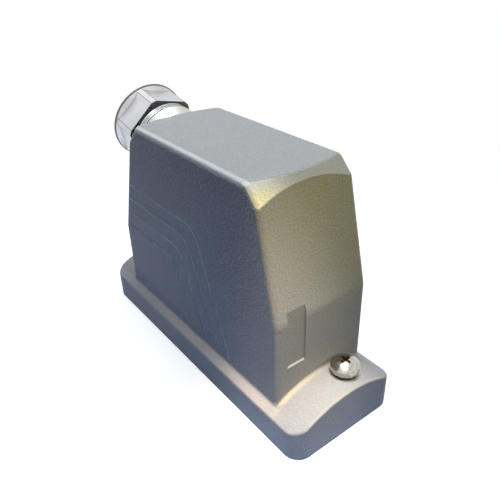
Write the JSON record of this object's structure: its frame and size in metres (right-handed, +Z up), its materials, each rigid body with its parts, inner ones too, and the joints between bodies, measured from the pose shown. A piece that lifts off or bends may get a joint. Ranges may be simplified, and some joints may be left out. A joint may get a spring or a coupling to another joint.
{
  "type": "heavy duty rectangular connector",
  "caption": "Heavy duty rectangular connector: tall die-cast hood with slanted cable gland, captive locking screws in an arched flange and a screw-terminal contact insert.",
  "frame": {"origin": "middle of the hood's mating rim, in the plane of the rim", "axes": "+Z points up from the rim to the roof, +X runs along the length towards the end with the recess, away from the gland, +Y is across the width"},
  "size_m": [0.1522, 0.0544, 0.1137],
  "materials": {
    "hood_paint": "silver-grey powder coat with a fine leather grain",
    "seal_rubber": "matt black rubber",
    "plated_screw": "bright nickel-plated steel",
    "plated_washer": "zinc-plated steel",
    "white_nylon": "natural nylon",
    "gland_metal": "satin nickel-plated brass",
    "insert_plastic": "light grey moulded polycarbonate",
    "contact_metal": "silver-plated copper alloy"
  },
  "bodies": {
    "hood_body": {"hood": "hood_paint", "rim_gasket": "seal_rubber", "screw_retainer_front": "white_nylon", "screw_retainer_rear": "white_nylon", "gland_gasket": "seal_rubber", "gland_body": "gland_metal", "contact_carrier": "insert_plastic", "terminal_block": "insert_plastic", "contacts": "contact_metal", "terminal_screws": "plated_screw", "earth_plate_front": "plated_washer", "earth_plate_rear": "plated_washer", "earth_screws": "plated_screw", "fixing_screws": "plated_screw", "fixing_washers": "plated_washer"},
    "front_washers": {"plain_washer_front": "plated_washer", "lock_washer_front": "plated_washer"},
    "front_screw": {"locking_screw_front": "plated_screw"},
    "rear_washers": {"plain_washer_rear": "plated_washer", "lock_washer_rear": "plated_washer"},
    "rear_screw": {"locking_screw_rear": "plated_screw"},
    "gland_clamp": {"gland_cage": "white_nylon", "gland_seal": "seal_rubber"},
    "gland_cap": {"gland_nut": "gland_metal"}
  },
  "joints": [
    {"name": "front_screw_lift", "type": "slide", "parent": "hood_body", "child": "front_washers", "axis": [0, 0, 1], "range_m": [0, 0.006]},
    {"name": "front_screw_turn", "type": "hinge", "parent": "front_washers", "child": "front_screw", "pos_m": [0.0665, 0.007, 0.0206], "axis": [0, 0, 1], "range_deg": [0, 2160]},
    {"name": "rear_screw_lift", "type": "slide", "parent": "hood_body", "child": "rear_washers", "axis": [0, 0, 1], "range_m": [0, 0.006]},
    {"name": "rear_screw_turn", "type": "hinge", "parent": "rear_washers", "child": "rear_screw", "pos_m": [-0.0665, -0.007, 0.0206], "axis": [0, 0, 1], "range_deg": [0, 2160]},
    {"name": "gland_nut_travel", "type": "slide", "parent": "hood_body", "child": "gland_clamp", "axis": [-0.9781, 0, 0.2079], "range_m": [0, 0.003]},
    {"name": "gland_nut_turn", "type": "hinge", "parent": "gland_clamp", "child": "gland_cap", "pos_m": [-0.0534, 0, 0.0926], "axis": [-0.9781, 0, 0.2079], "range_deg": [0, 720]}
  ],
  "couplings": [
    {"joint": "front_screw_turn", "follows": "front_screw_lift", "rad_per_m": 6283.2},
    {"joint": "rear_screw_turn", "follows": "rear_screw_lift", "rad_per_m": 6283.2},
    {"joint": "gland_nut_turn", "follows": "gland_nut_travel", "rad_per_m": 4188.8}
  ]
}
